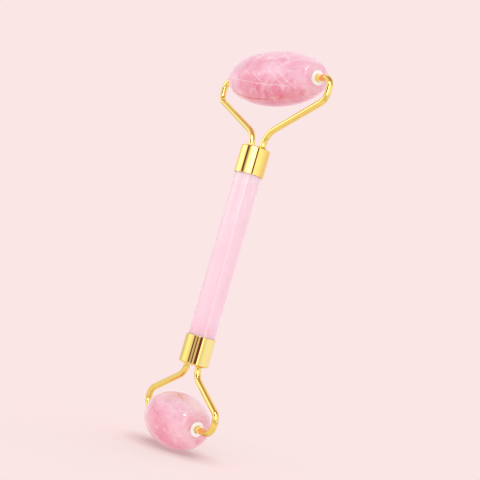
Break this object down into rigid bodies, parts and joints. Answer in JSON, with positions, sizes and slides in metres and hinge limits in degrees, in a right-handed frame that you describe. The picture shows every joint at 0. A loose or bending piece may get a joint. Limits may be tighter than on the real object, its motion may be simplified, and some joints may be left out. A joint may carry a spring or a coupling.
{
  "type": "face roller",
  "caption": "Two-ended stone face roller: a straight stone grip with a plated cap and wire fork at each end, holding a long and a short turning stone.",
  "frame": {"origin": "middle of the grip, on the rod's axis", "axes": "+Z along the rod towards the large stone, +X along the axis the stones turn on; the forks lie in the XZ plane"},
  "size_m": [0.0608, 0.0198, 0.145],
  "materials": {
    "grip_stone": "polished pale rose quartz, faintly cloudy",
    "turning_stone": "polished rose quartz, mottled, with pale veins",
    "gold_plated_cap": "polished gold plating",
    "gold_plated_wire": "polished gold plating",
    "clear_glue": "cured clear adhesive",
    "bush": "moulded milky white plastic"
  },
  "bodies": {
    "handle": {"grip_rod": "grip_stone", "large_end_cap": "gold_plated_cap", "small_end_cap": "gold_plated_cap", "large_end_glue": "clear_glue", "small_end_glue": "clear_glue", "large_fork_left_arm": "gold_plated_wire", "large_fork_right_arm": "gold_plated_wire", "small_fork_left_arm": "gold_plated_wire", "small_fork_right_arm": "gold_plated_wire", "large_fork_left_braze": "gold_plated_wire", "large_fork_right_braze": "gold_plated_wire", "small_fork_left_braze": "gold_plated_wire", "small_fork_right_braze": "gold_plated_wire"},
    "large_roller": {"large_stone": "turning_stone", "large_stone_left_bush": "bush", "large_stone_right_bush": "bush"},
    "small_roller": {"small_stone": "turning_stone", "small_stone_left_bush": "bush", "small_stone_right_bush": "bush"}
  },
  "joints": [
    {"name": "large_roller_spin", "type": "hinge", "parent": "handle", "child": "large_roller", "pos_m": [0, 0, 0.0657], "axis": [1, 0, 0], "continuous": true},
    {"name": "small_roller_spin", "type": "hinge", "parent": "handle", "child": "small_roller", "pos_m": [0, 0, -0.0597], "axis": [1, 0, 0], "continuous": true}
  ]
}
